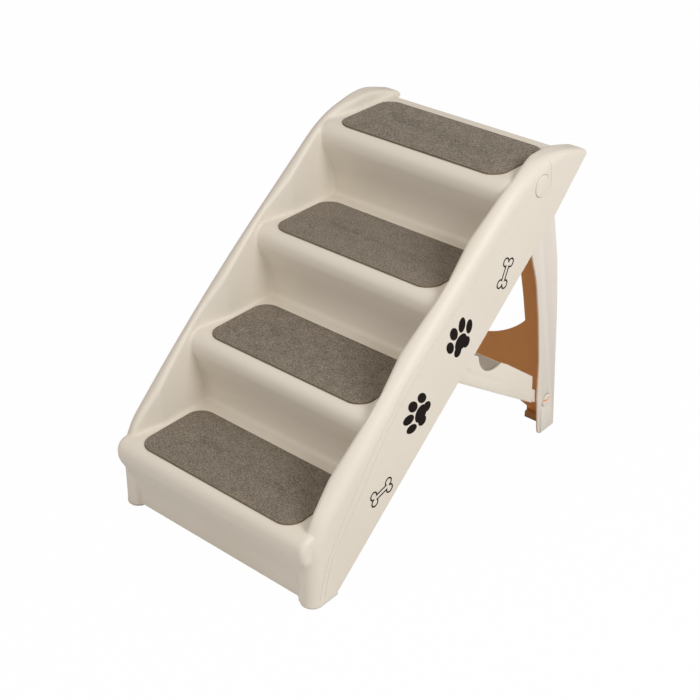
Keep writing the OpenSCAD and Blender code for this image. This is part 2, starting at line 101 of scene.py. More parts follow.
# An open path whose corners are arcs: each corner is (y, z, radius).
def roundPath(corners, perArc=14):
    out = []
    for i, (y, z, r) in enumerate(corners):
        p = np.array([y, z], float)
        if i in (0, len(corners) - 1) or r <= 0:
            out.append(p[None])
            continue
        u, v = (np.array(corners[i + k][:2], float) - p for k in (-1, 1))
        u, v = u / np.linalg.norm(u), v / np.linalg.norm(v)
        half = math.acos(float(u @ v)) / 2
        centre = p + (u + v) / np.linalg.norm(u + v) * r / math.sin(half)
        a, b = p + u * r / math.tan(half) - centre, p + v * r / math.tan(half) - centre
        start = math.atan2(a[1], a[0])
        turn = (math.atan2(b[1], b[0]) - start + math.pi) % (2 * math.pi) - math.pi
        t = start + turn * np.linspace(0, 1, perArc)
        out.append(centre + r * np.stack([np.cos(t), np.sin(t)], 1))
    return np.concatenate(out)


# Riser, swelling nose and tread, one after another, closed far below.
def stepCorners(s):
    c = [(s["riserBack"], farBelow, 0)]
    for i in range(s["count"]):
        y, z = s["run"] * i, s["rise"] * i
        if i:
            c.append((y + s["riserBack"], z, s["cove"]))
        c += [(y + s["riserBack"], z + s["rise"] * s["swellShare"], s["swell"]),
              (y - s["noseOut"], z + s["rise"] * s["bellyShare"], s["noseBelly"]),
              (y - s["noseOut"], z + s["rise"], s["noseTop"])]
    return c + [(s["lipY"], s["rise"] * s["count"], s["lipRound"]), (s["lipY"], farBelow, 0)]


# The same path moved to its right by d, its clockwise arcs tighter by d.
def insetCorners(corners, d):
    pts = np.array([c[:2] for c in corners], float)
    step = np.diff(pts, axis=0)
    step /= np.linalg.norm(step, axis=1)[:, None]
    normal = np.stack([step[:, 1], -step[:, 0]], 1)
    first, second = np.vstack([normal[:1], normal]), np.vstack([normal, normal[-1:]])
    moved = pts + (first + second) * d / (1 + (first * second).sum(1))[:, None]
    return [(m[0], m[1], max(c[2] - d, 0)) for m, c in zip(moved, corners)]


# Distance tables, one value each millimetre
tableStep = 1.0
tableY, tableZ = np.arange(-40, 700, tableStep), np.arange(-20, 560, tableStep)


# Signed distance to a closed polygon over the side view, negative inside.
def distanceTable(polygon):
    gy, gz = np.meshgrid(tableY, tableZ, indexing="ij")
    best, inside = np.full(gy.shape, 1e9), np.zeros(gy.shape, bool)
    for a, b in zip(polygon, np.roll(polygon, -1, axis=0)):
        d = b - a
        square = float(d @ d)
        if square < 1e-12:
            continue
        t = np.clip(((gy - a[0]) * d[0] + (gz - a[1]) * d[1]) / square, 0, 1)
        best = np.minimum(best, (gy - a[0] - t * d[0]) ** 2 + (gz - a[1] - t * d[1]) ** 2)
        crosses = (a[1] > gz) != (b[1] > gz)
        if d[1]:
            inside ^= crosses & (gy < a[0] + (gz - a[1]) * d[0] / d[1])
    return np.where(inside, -1, 1) * np.sqrt(best)


# Bilinear reading of a table at points y, z.
def readTable(table, y, z):
    fy = np.clip((y - tableY[0]) / tableStep, 0, len(tableY) - 1.001)
    fz = np.clip((z - tableZ[0]) / tableStep, 0, len(tableZ) - 1.001)
    i, j = fy.astype(int), fz.astype(int)
    u, v = fy - i, fz - j
    return (table[i, j] * (1 - u) * (1 - v) + table[i + 1, j] * u * (1 - v)
            + table[i, j + 1] * (1 - u) * v + table[i + 1, j + 1] * u * v)


stepTable = distanceTable(roundPath(stepCorners(stepForm)))
spinePath = roundPath(insetCorners(railForm["crest"], railForm["half"]))
spineEnd = [[farBehind, spinePath[-1, 1] - railForm["crestFall"]], [farBehind, farBelow]]
spineTable = distanceTable(np.vstack([spinePath, spineEnd]))
print("outlines ready")

# Stair shell
shellForm = {"fillet": 4.5, "noseEnd": 192.5, "noseEndRound": 9, "noseFillet": 2.2,
             "noseEndFrom": (58, 86), "noseEndBack": (60, 30), "filletBack": (30, 18),
             "hiddenEnd": 180, "grid": 3.4, "fineGrid": 2.0, "coarse": 21, "fineMargin": 22,
             "frontY": -19.3, "fineTo": 34, "coarseFrom": 36, "farY": 645, "lowZ": -3.1,
             "highZ": 535, "keptUnder": 2, "keptBehind": 9, "relax": 3}


# Union of two solids with a cove of radius r between them.
def roundJoin(a, b, r):
    ca, cb = np.maximum(r - a, 0), np.maximum(r - b, 0)
    return np.maximum(r, np.minimum(a, b)) - np.hypot(ca, cb)


# Intersection of two solids with an edge of radius r between them.
def roundCut(a, b, r):
    return np.minimum(-r, np.maximum(a, b)) + np.hypot(np.maximum(a + r, 0), np.maximum(b + r, 0))


# Zero up to start, one from end on; start may be the larger of the two.
def ramp(value, start, end):
    return np.clip((value - start) / (end - start), 0, 1)


# The same with an eased S between zero and one: 3t^2 - 2t^3.
def eased(value, start, end):
    t = ramp(value, start, end)
    return t * t * (3 - 2 * t)


# Distance to the outside of the shell: steps cut short with rounded ends, joined by coves
# to rails with a broad outer shoulder, a tighter inner edge and an inner wall that leans
# outward above each tread: wall = inner + lean * height over the tread.
def shellField(p):
    x, y, z = np.abs(p[:, 0]), p[:, 1], p[:, 2]
    s, r = shellForm, railForm
    steps = readTable(stepTable, y, z)
    first = ramp(y, *s["noseEndBack"]) * ramp(z, *s["noseEndFrom"])
    end = s["hiddenEnd"] + (s["noseEnd"] - s["hiddenEnd"]) * first
    steps = roundCut(steps, x - end, s["noseEndRound"])
    above = eased(z, *r["columnTop"])
    crown = r["half"] + (r["shoulder"] - r["half"]) * above
    crown -= (crown - r["tipCrown"]) * eased(y, *r["crownY"])
    depth = readTable(spineTable, y, z) - r["half"]
    rail = roundCut(depth, x - r["outer"], crown)
    run, rise = stepForm["run"], stepForm["rise"]
    step = np.floor((y - r["leanEase"][0]) / run)
    tread = rise * np.clip(step + ramp(y - step * run, *r["leanEase"]), 0, stepForm["count"])
    wall = r["inner"] + r["lean"] * np.clip(z - tread, 0, rise) * above
    inner = r["columnEdge"] - (r["columnEdge"] - r["edge"]) * above
    rail = roundCut(rail, wall - x, inner)
    (y0, z0, _), (y1, z1, _) = r["crest"][-2:]
    n = np.array([z0 - z1, y1 - y0]) / math.hypot(z0 - z1, y1 - y0)
    crest = (y - y0) * n[0] + (z - z0) * n[1]
    rail = np.maximum(rail, roundCut(y - r["tipY"], crest, r["tipRound"]))
    front = ramp(y, *s["filletBack"])
    return roundJoin(steps, rail, s["fillet"] - (s["fillet"] - s["noseFillet"]) * front)


# Fine lines across the rails, coarse lines across the treads.
def gridLines(s, r):
    fine = np.arange(r["inner"] - s["fineMargin"], r["outer"] + 2 * s["grid"], s["grid"])
    coarse = np.linspace(0, fine[0], int(fine[0] // s["coarse"]) + 2)[:-1]
    half = np.concatenate([coarse, fine])
    return np.concatenate([-half[:0:-1], half])


# Mesh of field = 0 on a grid: one vertex a cell, one quad a crossed grid edge.
def surfaceNet(field, xs, ys, zs, wanted):
    g = np.stack(np.meshgrid(xs, ys, zs, indexing="ij"), -1)
    f = field(g.reshape(-1, 3)).reshape(g.shape[:3])
    sign = f < 0
    corner = [(i, j, k) for i in (0, 1) for j in (0, 1) for k in (0, 1)]
    shape = tuple(n - 1 for n in f.shape)
    part = {c: tuple(slice(o, o + n) for o, n in zip(c, shape)) for c in corner}
    count = sum(sign[part[c]].astype(int) for c in corner)
    middle = (g[part[(0, 0, 0)]] + g[part[(1, 1, 1)]]) / 2
    active = (count > 0) & (count < 8) & wanted(middle)
    cells = np.argwhere(active)
    total, hits = np.zeros((len(cells), 3)), np.zeros(len(cells))
    for a in corner:
        for axis in range(3):
            if a[axis]:
                continue
            b = tuple(o + (n == axis) for n, o in enumerate(a))
            ia, ib = tuple((cells + a).T), tuple((cells + b).T)
            fa, fb = f[ia], f[ib]
            hit = (fa < 0) != (fb < 0)
            t = np.where(hit, fa / np.where(hit, fa - fb, 1), 0)[:, None]
            total += np.where(hit[:, None], g[ia] * (1 - t) + g[ib] * t, 0)
            hits += hit
    verts = total / hits[:, None]
    number = np.full(shape, -1)
    number[tuple(cells.T)] = np.arange(len(cells))
    quads = []
    for axis in range(3):
        u, v = (axis + 1) % 3, (axis + 2) % 3
        low = [slice(None)] * 3
        low[axis] = slice(0, -1)
        high = list(low)
        high[axis] = slice(1, None)
        edge = np.argwhere(sign[tuple(low)] != sign[tuple(high)])
        edge = edge[(edge[:, u] > 0) & (edge[:, v] > 0)
                    & (edge[:, u] < shape[u]) & (edge[:, v] < shape[v])]
        ring = []
        for du, dv in ((-1, -1), (0, -1), (0, 0), (-1, 0)):
            c = edge.copy()
            c[:, u] += du
            c[:, v] += dv
            ring.append(number[tuple(c.T)])
        ring = np.stack(ring, 1)
        inward = ~sign[tuple(edge.T)]
        ring[inward] = ring[inward][:, ::-1]
        quads.append(ring[(ring >= 0).all(1)])
    return verts, np.concatenate(quads)


# Vertices slide half way to the middle of their neighbours, then back onto field = 0 by
# Newton's step: move = -slope * field / slope^2, with the slope from two probes an axis.
def settle(field, verts, quads, rounds, probe=0.6, longest=3, flattest=0.2):
    pairs = np.concatenate([quads[:, [i, (i + 1) % 4]] for i in range(4)])
    pairs = np.concatenate([pairs, pairs[:, ::-1]])
    degree = np.bincount(pairs[:, 0], minlength=len(verts))
    rim = np.zeros(len(verts), bool)
    unique, times = np.unique(np.sort(pairs, axis=1), axis=0, return_counts=True)
    rim[unique[times < 4].ravel()] = True
    for turn in range(rounds + 2):  # the last two rounds only move back
        if turn < rounds:
            mean = np.stack([np.bincount(pairs[:, 0], verts[pairs[:, 1], k], len(verts))
                             for k in range(3)], 1) / np.maximum(degree, 1)[:, None]
            verts = np.where(rim[:, None], verts, verts + 0.5 * (mean - verts))
        slope = np.stack([(field(verts + e) - field(verts - e)) / (2 * probe)
                          for e in np.eye(3) * probe], 1)
        square = np.maximum((slope ** 2).sum(1), flattest)
        verts = verts - slope * (np.clip(field(verts), -longest, longest) / square)[:, None]
    return verts


# A linked object from points in millimetres and an array or list of faces.
def newMesh(name, verts, faces, smooth=True):
    mesh = bpy.data.meshes.new(name)
    rows = faces.tolist() if isinstance(faces, np.ndarray) else faces
    mesh.from_pydata(toFrame(verts).tolist(), [], rows)
    mesh.polygons.foreach_set("use_smooth", [smooth] * len(mesh.polygons))
    obj = bpy.data.objects.new(name, mesh)
    bpy.context.scene.collection.objects.link(obj)
    return obj


# The evaluated mesh takes the place of the base mesh.
def applyModifiers(obj):
    bpy.context.view_layer.update()
    graph = bpy.context.evaluated_depsgraph_get()
    mesh = bpy.data.meshes.new_from_object(obj.evaluated_get(graph))
    obj.modifiers.clear()
    obj.data = mesh


# Height above the back edge of the side panels, which has one bend.
def backSide(y, z):
    (y0, z0), (y1, z1), (y2, z2) = railForm["back"]
    return z - np.maximum(z0 + (y - y0) * (z1 - z0) / (y1 - y0),
                          z1 + (y - y1) * (z2 - z1) / (y2 - y1))


# A closed cylinder across the stairs; both ends are fans of one polygon.
def discAcross(y, z, radius, x0, x1, count=96):
    t = np.linspace(0, 2 * np.pi, count, endpoint=False)
    ring = np.stack([y + radius * np.cos(t), z + radius * np.sin(t)], 1)
    low, high = min(x0, x1), max(x0, x1)
    verts = np.concatenate([np.column_stack([np.full(count, x), ring]) for x in (low, high)])
    a = np.arange(count)
    b = (a + 1) % count
    sides = np.stack([a, b, b + count, a + count], 1).tolist()
    return verts, sides + [a[::-1].tolist(), (a + count).tolist()]


# A line eased through its points and read at even steps.
def smoothLine(points, step):
    p = np.asarray(points, float)
    for _ in range(3):
        q = np.empty((2 * len(p) - 2, 2))
        q[0::2], q[1::2] = p[:-1] * 0.75 + p[1:] * 0.25, p[:-1] * 0.25 + p[1:] * 0.75
        p = np.vstack([p[:1], q, p[-1:]])
    along = np.concatenate([[0], np.cumsum(np.linalg.norm(np.diff(p, axis=0), axis=1))])
    at = np.linspace(0, along[-1], int(along[-1] / step) + 1)
    return np.stack([np.interp(at, along, p[:, k]) for k in (0, 1)], 1)


# A long wedge pressed into the outer face of a rail, following the face where it rounds;
# its two upper edges lie outside the face by proud.
def sideGroove(points, side, width, depth, step=6, proud=1.0):
    line = smoothLine(points, step)
    along = np.gradient(line, axis=0)
    along /= np.linalg.norm(along, axis=1)[:, None]
    across = np.stack([-along[:, 1], along[:, 0]], 1)
    face = np.full(len(line), float(railForm["outer"]))
    for _ in range(12):
        face -= np.clip(shellField(np.column_stack([face, line])), -2, 2)
    rings = [np.column_stack([face + out, line + across * w])
             for w, out in ((-width, proud), (0, -depth), (width, proud))]
    verts = np.stack(rings, 1).reshape(-1, 3) * [side, 1, 1]
    a = np.arange(0, len(verts) - 3, 3)
    quads = np.concatenate([np.stack([a + i, a + (i + 1) % 3, a + 3 + (i + 1) % 3, a + 3 + i], 1)
                            for i in range(3)])
    last = len(verts) - 3
    return verts, quads.tolist() + [[2, 1, 0], [last, last + 1, last + 2]]


# Merges points closer than merge metres and turns every face outward.
def cleanMesh(mesh, merge=0):
    bm = bmesh.new()
    bm.from_mesh(mesh)
    if merge:
        bmesh.ops.remove_doubles(bm, verts=bm.verts, dist=merge)
    bmesh.ops.recalc_face_normals(bm, faces=bm.faces)
    bm.to_mesh(mesh)
    bm.free()


# Several closed forms as one mesh.
def solidsMesh(name, solids):
    verts, faces, base = [], [], 0
    for v, f in solids:
        verts.append(v)
        faces += [[i + base for i in face] for face in f]
        base += len(v)
    obj = newMesh(name, np.concatenate(verts), faces, smooth=False)
    cleanMesh(obj.data)
    return obj


detailForm = {
    "pivot": (512, 489), "recess": 18.2, "recessDepth": 1.4, "boss": 16, "bossAcross": (194.1, 197.2),
    "bore": 7.1, "boreAcross": (190, 205), "outside": 210, "sharp": 32,
    "bracePivot": (302, 270), "braceBoss": 9.5, "braceAcross": (167.5, 183.6),
    "braceBore": 4.6, "braceBoreAcross": (170.3, 190), "grooveWidth": 1.05, "grooveDepth": 1.25,
    "grooves": [
        [(531, 524), (533.6, 506), (537, 488), (533.6, 476.5), (524, 467.5), (510.9, 462),
         (488.3, 454.5), (422.2, 427),
         (336, 380), (249.8, 324.3), (210.6, 305.1), (173.1, 264.7), (141, 230.1),
         (114.5, 197.1), (82.7, 153.8), (56.3, 116.2), (29.8, 73.9), (20, 42), (14, 12)],
        [(268, 316), (228.1, 301), (184.7, 258.9), (154.5, 227.3), (131.3, 192.2),
         (96.6, 145.8), (69.5, 108.2), (43.2, 79.1), (31, 45), (25, 12)]]}


# Adds the bosses, then takes out the recesses, the bores and the two fine grooves.
def detailShell(shell, s):
    pivot, brace = s["pivot"], s["bracePivot"]
    added, taken, bores = [], [], []
    for side in (-1, 1):
        boss, bore, braceBoss, braceBore = (
            [side * x for x in s[k]] for k in ("bossAcross", "boreAcross", "braceAcross",
                                               "braceBoreAcross"))
        recess = [side * (railForm["outer"] - s["recessDepth"]), side * s["outside"]]
        added += [discAcross(*pivot, s["boss"], *boss),
                  discAcross(*brace, s["braceBoss"], *braceBoss)]
        taken += [discAcross(*pivot, s["recess"], *recess),
                  discAcross(*brace, s["braceBore"], *braceBore)]
        taken += [sideGroove(g, side, s["grooveWidth"], s["grooveDepth"]) for g in s["grooves"]]
        bores.append(discAcross(*pivot, s["bore"], *bore))
    for name, solids, kind in (("bosses", added, "UNION"), ("recesses", taken, "DIFFERENCE"),
                               ("bores", bores, "DIFFERENCE")):
        tool = solidsMesh(name, solids)
        cut = shell.modifiers.new(name, "BOOLEAN")
        cut.operation, cut.solver, cut.object = kind, "MANIFOLD", tool
        applyModifiers(shell)
        bpy.data.objects.remove(tool)
        print("after", name, len(shell.data.polygons), "faces")
    shell.data.polygons.foreach_set("use_smooth", [True] * len(shell.data.polygons))
    shell.data.set_sharp_from_angle(angle=math.radians(s["sharp"]))


# The outside as a net, cut level at the floor and along the back edge, then given its wall.
def makeShell(s, r):
    ys = np.concatenate([np.arange(s["frontY"], s["fineTo"], s["fineGrid"]),
                         np.arange(s["coarseFrom"], s["farY"], s["grid"])])
    zs = np.arange(s["lowZ"], s["highZ"], s["grid"])
    verts, quads = surfaceNet(
        shellField, gridLines(s, r), ys, zs,
        lambda m: (m[..., 2] > -s["keptUnder"])
        & (backSide(m[..., 1], m[..., 2]) > -s["keptBehind"]))
    verts = settle(shellField, verts, quads, s["relax"])
    shell = newMesh("stair_shell", verts, quads)
    bm = bmesh.new()
    bm.from_mesh(shell.data)
    (y0, z0), (y1, z1), (y2, z2) = r["back"]
    cuts = [((0, y0, r["floor"]), (0, 0, 1)), ((0, y1, z1), (0, z0 - z1, y1 - y0)),
            ((0, y1, z1), (0, z1 - z2, y2 - y1))]
    for place, normal in cuts:
        bmesh.ops.bisect_plane(bm, geom=bm.verts[:] + bm.edges[:] + bm.faces[:], dist=1e-7,
                               plane_co=toFrame(place), plane_no=Vector(normal).normalized(),
                               clear_inner=True)
    bmesh.ops.remove_doubles(bm, verts=bm.verts, dist=2e-5)
    loose = [v for v in bm.verts if not v.link_faces]
    bmesh.ops.delete(bm, geom=loose, context="VERTS")
    bm.to_mesh(shell.data)
    bm.free()
    wall = shell.modifiers.new("wall", "SOLIDIFY")
    wall.thickness, wall.offset, wall.use_even_offset = r["wall"] * mm, -1, False
    applyModifiers(shell)
    detailShell(shell, detailForm)
    return shell


shell = makeShell(shellForm, railForm)
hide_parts("stair_body")
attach(shell, "stairs")
print("shell:", sum(len(p.vertices) - 2 for p in shell.data.polygons), "triangles")

# Materials
# A shader node with settings of its own and constant values on its sockets.
def addNode(n, kind, sockets=None, **settings):
    node = n.new("ShaderNode" + kind)
    for name, value in settings.items():
        setattr(node, name, value)
    for label, value in (sockets or {}).items():
        node.inputs[label].default_value = value
    return node


def socketGroup(name, inputs, outputs):
    group = bpy.data.node_groups.new(name, "ShaderNodeTree")
    for label, kind, value in inputs:
        sock = group.interface.new_socket(label, in_out="INPUT", socket_type=kind)
        if value is not None:
            sock.default_value = value
    for label, kind in outputs:
        group.interface.new_socket(label, in_out="OUTPUT", socket_type=kind)
    return group, group.nodes.new("NodeGroupInput"), group.nodes.new("NodeGroupOutput")


# Fine orange-peel grain, slow waviness and a slight change of tone over the surface:
# roughness = base + 0.1 * slow noise, height = slow noise + 0.25 * fine noise.
def mouldedGrain():
    group, start, end = socketGroup("mouldedGrain", [
        ("Vector", "NodeSocketVector", None), ("Base", "NodeSocketColor", (0.8, 0.75, 0.67, 1)),
        ("Tint", "NodeSocketColor", (0.76, 0.70, 0.60, 1)), ("Grain", "NodeSocketFloat", 900),
        ("Roughness", "NodeSocketFloat", 0.42)],
        [("Color", "NodeSocketColor"), ("Roughness", "NodeSocketFloat"),
         ("Height", "NodeSocketFloat")])
    n, link = group.nodes, group.links.new
    slow = addNode(n, "TexNoise", {"Scale": 5.5, "Detail": 3})
    fine = addNode(n, "TexNoise", {"Detail": 2})
    mix = addNode(n, "Mix", data_type="RGBA")
    tone = addNode(n, "MapRange", {"From Min": 0.35, "From Max": 0.75})
    rough = addNode(n, "Math", {1: 0.1}, operation="MULTIPLY_ADD")
    height = addNode(n, "Math", {1: 0.25}, operation="MULTIPLY_ADD")
    link(start.outputs["Vector"], slow.inputs["Vector"])
    link(start.outputs["Vector"], fine.inputs["Vector"])
    link(start.outputs["Grain"], fine.inputs["Scale"])
    link(slow.outputs[0], tone.inputs["Value"])
    link(tone.outputs[0], mix.inputs["Factor"])
    link(start.outputs["Base"], mix.inputs["A"])
    link(start.outputs["Tint"], mix.inputs["B"])
    link(mix.outputs["Result"], end.inputs["Color"])
    link(slow.outputs[0], rough.inputs[0])
    link(start.outputs["Roughness"], rough.inputs[2])
    link(rough.outputs[0], end.inputs["Roughness"])
    link(fine.outputs[0], height.inputs[0])
    link(slow.outputs[0], height.inputs[2])
    link(height.outputs[0], end.inputs["Height"])
    return group


grainGroup = mouldedGrain()


# A material, its nodes, its link call and its main shader with constant values set.
def newMaterial(name, sockets=None):
    mat = bpy.data.materials.new(name)
    mat.use_nodes = True
    n = mat.node_tree.nodes
    for label, value in (sockets or {}).items():
        n["Principled BSDF"].inputs[label].default_value = value
    return mat, n, mat.node_tree.links.new, n["Principled BSDF"]


# Moulded plastic: the grain group feeds colour, roughness and a shallow bump.
def plastic(name, base, tint, grain=900, roughness=0.40, bump=0.12, specular=0.4):
    mat, n, link, bsdf = newMaterial(name, {"Specular IOR Level": specular})
    place = addNode(n, "TexCoord")
    group = addNode(n, "Group", {"Base": (*base, 1), "Tint": (*tint, 1), "Grain": grain,
                                 "Roughness": roughness}, node_tree=grainGroup)
    dent = addNode(n, "Bump", {"Strength": bump, "Distance": 0.0008})
    link(place.outputs["Object"], group.inputs["Vector"])
    link(group.outputs["Color"], bsdf.inputs["Base Color"])
    link(group.outputs["Roughness"], bsdf.inputs["Roughness"])
    link(group.outputs["Height"], dent.inputs["Height"])
    link(dent.outputs["Normal"], bsdf.inputs["Normal"])
    return mat


creamPlastic = plastic("cream_plastic", (0.775, 0.715, 0.62), (0.755, 0.69, 0.585))
padRubber = plastic("pad_rubber", (0.70, 0.65, 0.57), (0.64, 0.59, 0.51), 1400, 0.6, 0.3)
inkBlack = plastic("print_ink", (0.010, 0.006, 0.005), (0.014, 0.009, 0.007), 1800, 0.75, 0.2, 0.12)
shell.data.materials.clear()
shell.data.materials.append(creamPlastic)

# Floor and light
floorForm = {"half": 12000, "grey": 0.68, "roughness": 0.9, "glow": 0.985}
lightForm = {
    "world": 0.54, "worldColor": (1.0, 0.935, 0.895), "lampColor": (0.955, 0.985, 1.0),
    "lamps": {
        "key": {"energy": 35.5, "size": 1200, "away": 2700, "at": (0, 300, 200),
                "from": (0.80, -0.05, 0.62)},
        "fill": {"energy": 3.9, "size": 900, "away": 1500, "at": (0, 60, 200),
                 "from": (-0.10, -0.72, 0.69)}}}


# A wide floor that glows nearly white to the camera, and is plain grey in the light.
def addFloor(s):
    half = s["half"]
    verts = np.array([(-half, -half, 0), (half, -half, 0), (half, half, 0), (-half, half, 0)])
    floor = newMesh("floor", verts, np.array([[0, 1, 2, 3]]), smooth=False)
    mat, n, link, bsdf = newMaterial("floor_white", {
        "Base Color": (*[s["grey"]] * 3, 1), "Roughness": s["roughness"]})
    ray, mix = addNode(n, "LightPath"), addNode(n, "MixShader")
    glow = addNode(n, "Emission", {"Color": (1, 1, 1, 1)})
    share = addNode(n, "Math", {1: s["glow"]}, operation="MULTIPLY")
    link(ray.outputs["Is Camera Ray"], share.inputs[0])
    link(share.outputs[0], mix.inputs[0])
    link(bsdf.outputs[0], mix.inputs[1])
    link(glow.outputs[0], mix.inputs[2])
    link(mix.outputs[0], n["Material Output"].inputs["Surface"])
    floor.data.materials.append(mat)


# An even world, white to the camera.
def addWorld(s):
    world = bpy.data.worlds.new("world")
    bpy.context.scene.world = world
    world.use_nodes = True
    n, link = world.node_tree.nodes, world.node_tree.links.new
    plain = n["Background"]
    plain.inputs["Color"].default_value = (*s["worldColor"], 1)
    plain.inputs["Strength"].default_value = s["world"]
    white, mix = addNode(n, "Background", {"Strength": 1.0}), addNode(n, "MixShader")
    ray, seen = addNode(n, "LightPath"), addNode(n, "Math", operation="ADD", use_clamp=True)
    link(ray.outputs["Is Camera Ray"], seen.inputs[0])
    link(ray.outputs["Is Transmission Ray"], seen.inputs[1])
    link(seen.outputs[0], mix.inputs[0])
    link(plain.outputs[0], mix.inputs[1])
    link(white.outputs[0], mix.inputs[2])
    link(mix.outputs[0], n["World Output"].inputs["Surface"])


# A soft key from the right and a weak fill from the front.
def addLamps(s):
    for name, lampForm in s["lamps"].items():
        light = bpy.data.lights.new(name, "AREA")
        light.shape, light.size = "DISK", lampForm["size"] * mm
        light.energy, light.color = lampForm["energy"], s["lampColor"]
        lamp = bpy.data.objects.new(name, light)
        bpy.context.scene.collection.objects.link(lamp)
        toward = Vector(lampForm["from"]).normalized()
        lamp.location = Vector(toFrame(lampForm["at"])) + toward * lampForm["away"] * mm
        lamp.rotation_mode = "QUATERNION"
        lamp.rotation_quaternion = toward.to_track_quat("Z", "Y")


addFloor(floorForm)
addWorld(lightForm)
addLamps(lightForm)
bpy.context.scene.view_settings.view_transform = "Standard"
print("light set")

# CAD nodes with softened edges
# The moulded plastic with a second tone, painted warm shade, where the stored mask is one.
def plasticWithPaintedShade(name, base, inner):
    mat = plastic(name, base, tuple(c * 0.96 for c in base), roughness=0.45)
    n, link = mat.node_tree.nodes, mat.node_tree.links.new
    mask = addNode(n, "Attribute", attribute_name="inside")
    mix = addNode(n, "Mix", {"B": (*inner, 1)}, data_type="RGBA")
    group = next(x for x in n if x.type == "GROUP")
    link(mask.outputs["Fac"], mix.inputs["Factor"])
    link(group.outputs["Color"], mix.inputs["A"])
    link(mix.outputs["Result"], n["Principled BSDF"].inputs["Base Color"])
    return mat


# The orange-brown second colour is painted warm shade on the leg's inner faces, rims and catch
# groove.
legPlasticPaintedShade = plasticWithPaintedShade("leg_plastic_painted_shade", (0.79, 0.725, 0.645), (0.90, 0.41, 0.13))
# The rear feet's brown is painted shade: they stand in the shaded inside of the leg frame.
rearFootPaintedShade = plastic("rear_foot_painted_shade", (0.60, 0.30, 0.12), (0.50, 0.24, 0.09), 1400, 0.55, 0.2)
paintedShadeForm = {"plateInner": 190.4, "backLean": 0.35, "inwardLean": 0.3, "rimLean": -0.3,
              "rimPaintedReflection": 0.3, "latch": (597, 65), "catchInner": 10.9, "catchFacing": 0.9,
              "catchOutside": 195}


# Stores one, as painted shade, on faces that look forward or inward between the leg plates,
# less, as painted reflection, on the rims, and in a catch on its groove alone. Each lean is a share
# of the face's normal.
def markPaintedShade(mesh, s, catch=False):
    count = len(mesh.polygons)
    normals, centres = np.empty(count * 3), np.empty(count * 3)
    mesh.polygons.foreach_get("normal", normals)
    mesh.polygons.foreach_get("center", centres)
    normals, centres = normals.reshape(-1, 3), centres.reshape(-1, 3) / mm
    x = np.abs(centres[:, 0])
    between = x < s["plateInner"]
    inward = -normals[:, 0] * np.sign(centres[:, 0])
    inside = between & ((normals[:, 1] < s["backLean"]) | (inward > s["inwardLean"]))
    rim = ~between & (normals[:, 1] < s["rimLean"])
    # Painted shade inside the frame, a weaker painted reflection on the front-facing rims.
    value = np.where(inside, 1.0, np.where(rim, s["rimPaintedReflection"], 0.0))
    if catch:
        reach = np.hypot(*(centres - shift - [0, *s["latch"]])[:, 1:].T)
        facing = np.abs(normals[:, 0]) > s["catchFacing"]
        groove = (reach < s["catchInner"]) & ~(facing & (x > s["catchOutside"]))
        # In a catch only its groove takes the painted shade.
        value = np.where(groove, 1.0, 0.0)
    store = mesh.attributes.new("inside", "FLOAT", "FACE")
    store.data.foreach_set("value", value.astype(np.float32))


softForm = {"merge": 1e-6, "flat": 0.6, "sharp": 38, "segments": 2}
edgeForm = {
    "leg_frame": (0.9, legPlasticPaintedShade), "brace": (0.8, creamPlastic),
    "latch_catch_left": (0.4, legPlasticPaintedShade), "latch_catch_right": (0.4, legPlasticPaintedShade),
    "front_foot_left": (1.0, padRubber), "front_foot_right": (1.0, padRubber),
    "rear_foot_left": (1.0, rearFootPaintedShade), "rear_foot_right": (1.0, rearFootPaintedShade),
    "brace_pivot_pin_left": (0.4, creamPlastic), "brace_pivot_pin_right": (0.4, creamPlastic),
    "leg_pin_washer_left": (0.3, creamPlastic), "leg_pin_washer_right": (0.3, creamPlastic)}


# A merged copy of a CAD node with its flat faces joined and its edges rounded.
def softened(name, width, material, body, s):
    mesh = nodes[name].data.copy()
    mesh.name = name + "_shown"
    bm = bmesh.new()
    bm.from_mesh(mesh)
    bmesh.ops.remove_doubles(bm, verts=bm.verts, dist=s["merge"])
    bmesh.ops.dissolve_limit(bm, angle_limit=math.radians(s["flat"]), verts=bm.verts,
                             edges=bm.edges)
    bm.to_mesh(mesh)
    bm.free()
    obj = bpy.data.objects.new(name + "_shown", mesh)
    bpy.context.scene.collection.objects.link(obj)
    edge = obj.modifiers.new("edge", "BEVEL")
    edge.width, edge.segments, edge.limit_method = width * mm, s["segments"], "ANGLE"
    edge.angle_limit, edge.use_clamp_overlap = math.radians(s["sharp"]), False
    edge.harden_normals = True
    mesh.polygons.foreach_set("use_smooth", [True] * len(mesh.polygons))
    applyModifiers(obj)
    obj.data.materials.clear()
    obj.data.materials.append(material)
    # The leg and the catches get the painted shade mask.
    if material == legPlasticPaintedShade:
        markPaintedShade(obj.data, paintedShadeForm, "catch" in name)
    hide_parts(name)
    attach(obj, body)


capForm = {"radius": 17.3, "seat": 198.7, "rim": 201.3, "crown": 202.7, "soft": 2.2, "shank": 7,
           "shankFrom": 183.1, "rimFall": 0.45, "rimRise": 0.6, "rimSteps": 7,
           "dome": (0.85, 0.65, 0.4, 0.18, 0), "around": 72, "merge": 1e-5, "sharp": 40}


